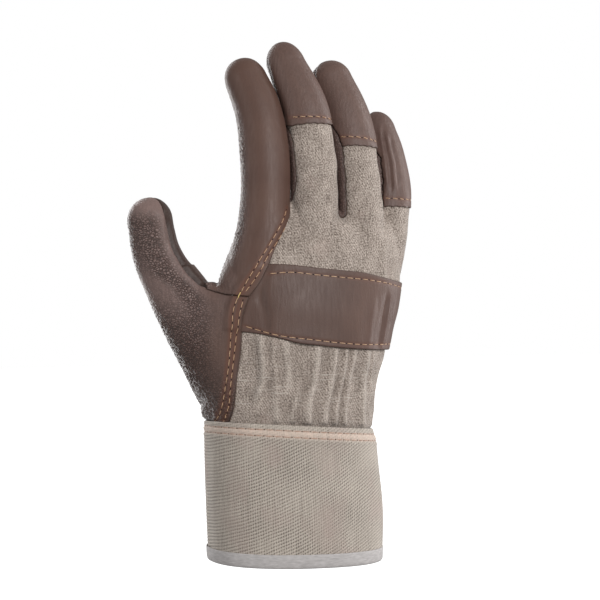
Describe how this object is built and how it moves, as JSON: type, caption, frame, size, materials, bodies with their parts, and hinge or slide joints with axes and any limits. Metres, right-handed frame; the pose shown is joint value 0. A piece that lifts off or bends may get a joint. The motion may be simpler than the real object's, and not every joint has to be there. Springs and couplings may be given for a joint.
{
  "type": "leather work glove",
  "caption": "Right-hand work glove with leather palm, thumb, index finger and fingertips, a drill back, a leather knuckle strap and an open canvas cuff.",
  "frame": {"origin": "centre of the cuff's open mouth, level with the lowest edge of the hem", "axes": "+Z from the hem towards the fingertips, -Y out of the back of the hand, +Y out of the palm, -X towards the thumb"},
  "size_m": [0.1437, 0.0688, 0.2598],
  "materials": {
    "leather": "smooth brown grain leather, semi-matt",
    "drill": "mottled grey-beige cotton drill",
    "canvas": "pale stiffened cotton canvas, diagonal twill",
    "hem_tape": "pale grey woven tape",
    "thread": "orange sewing thread"
  },
  "bodies": {
    "root": {"index_finger": "leather", "thumb_outer": "leather", "thumb_inner": "leather", "middle_front": "leather", "ring_front": "leather", "palm": "leather", "index_middle_wall": "leather", "middle_ring_wall": "leather", "ring_little_wall": "leather", "back": "drill", "middle_tip": "leather", "ring_tip": "leather", "little_tip": "leather", "knuckle_strap": "leather", "cuff": "canvas", "hem_tape": "hem_tape"}
  },
  "joints": []
}
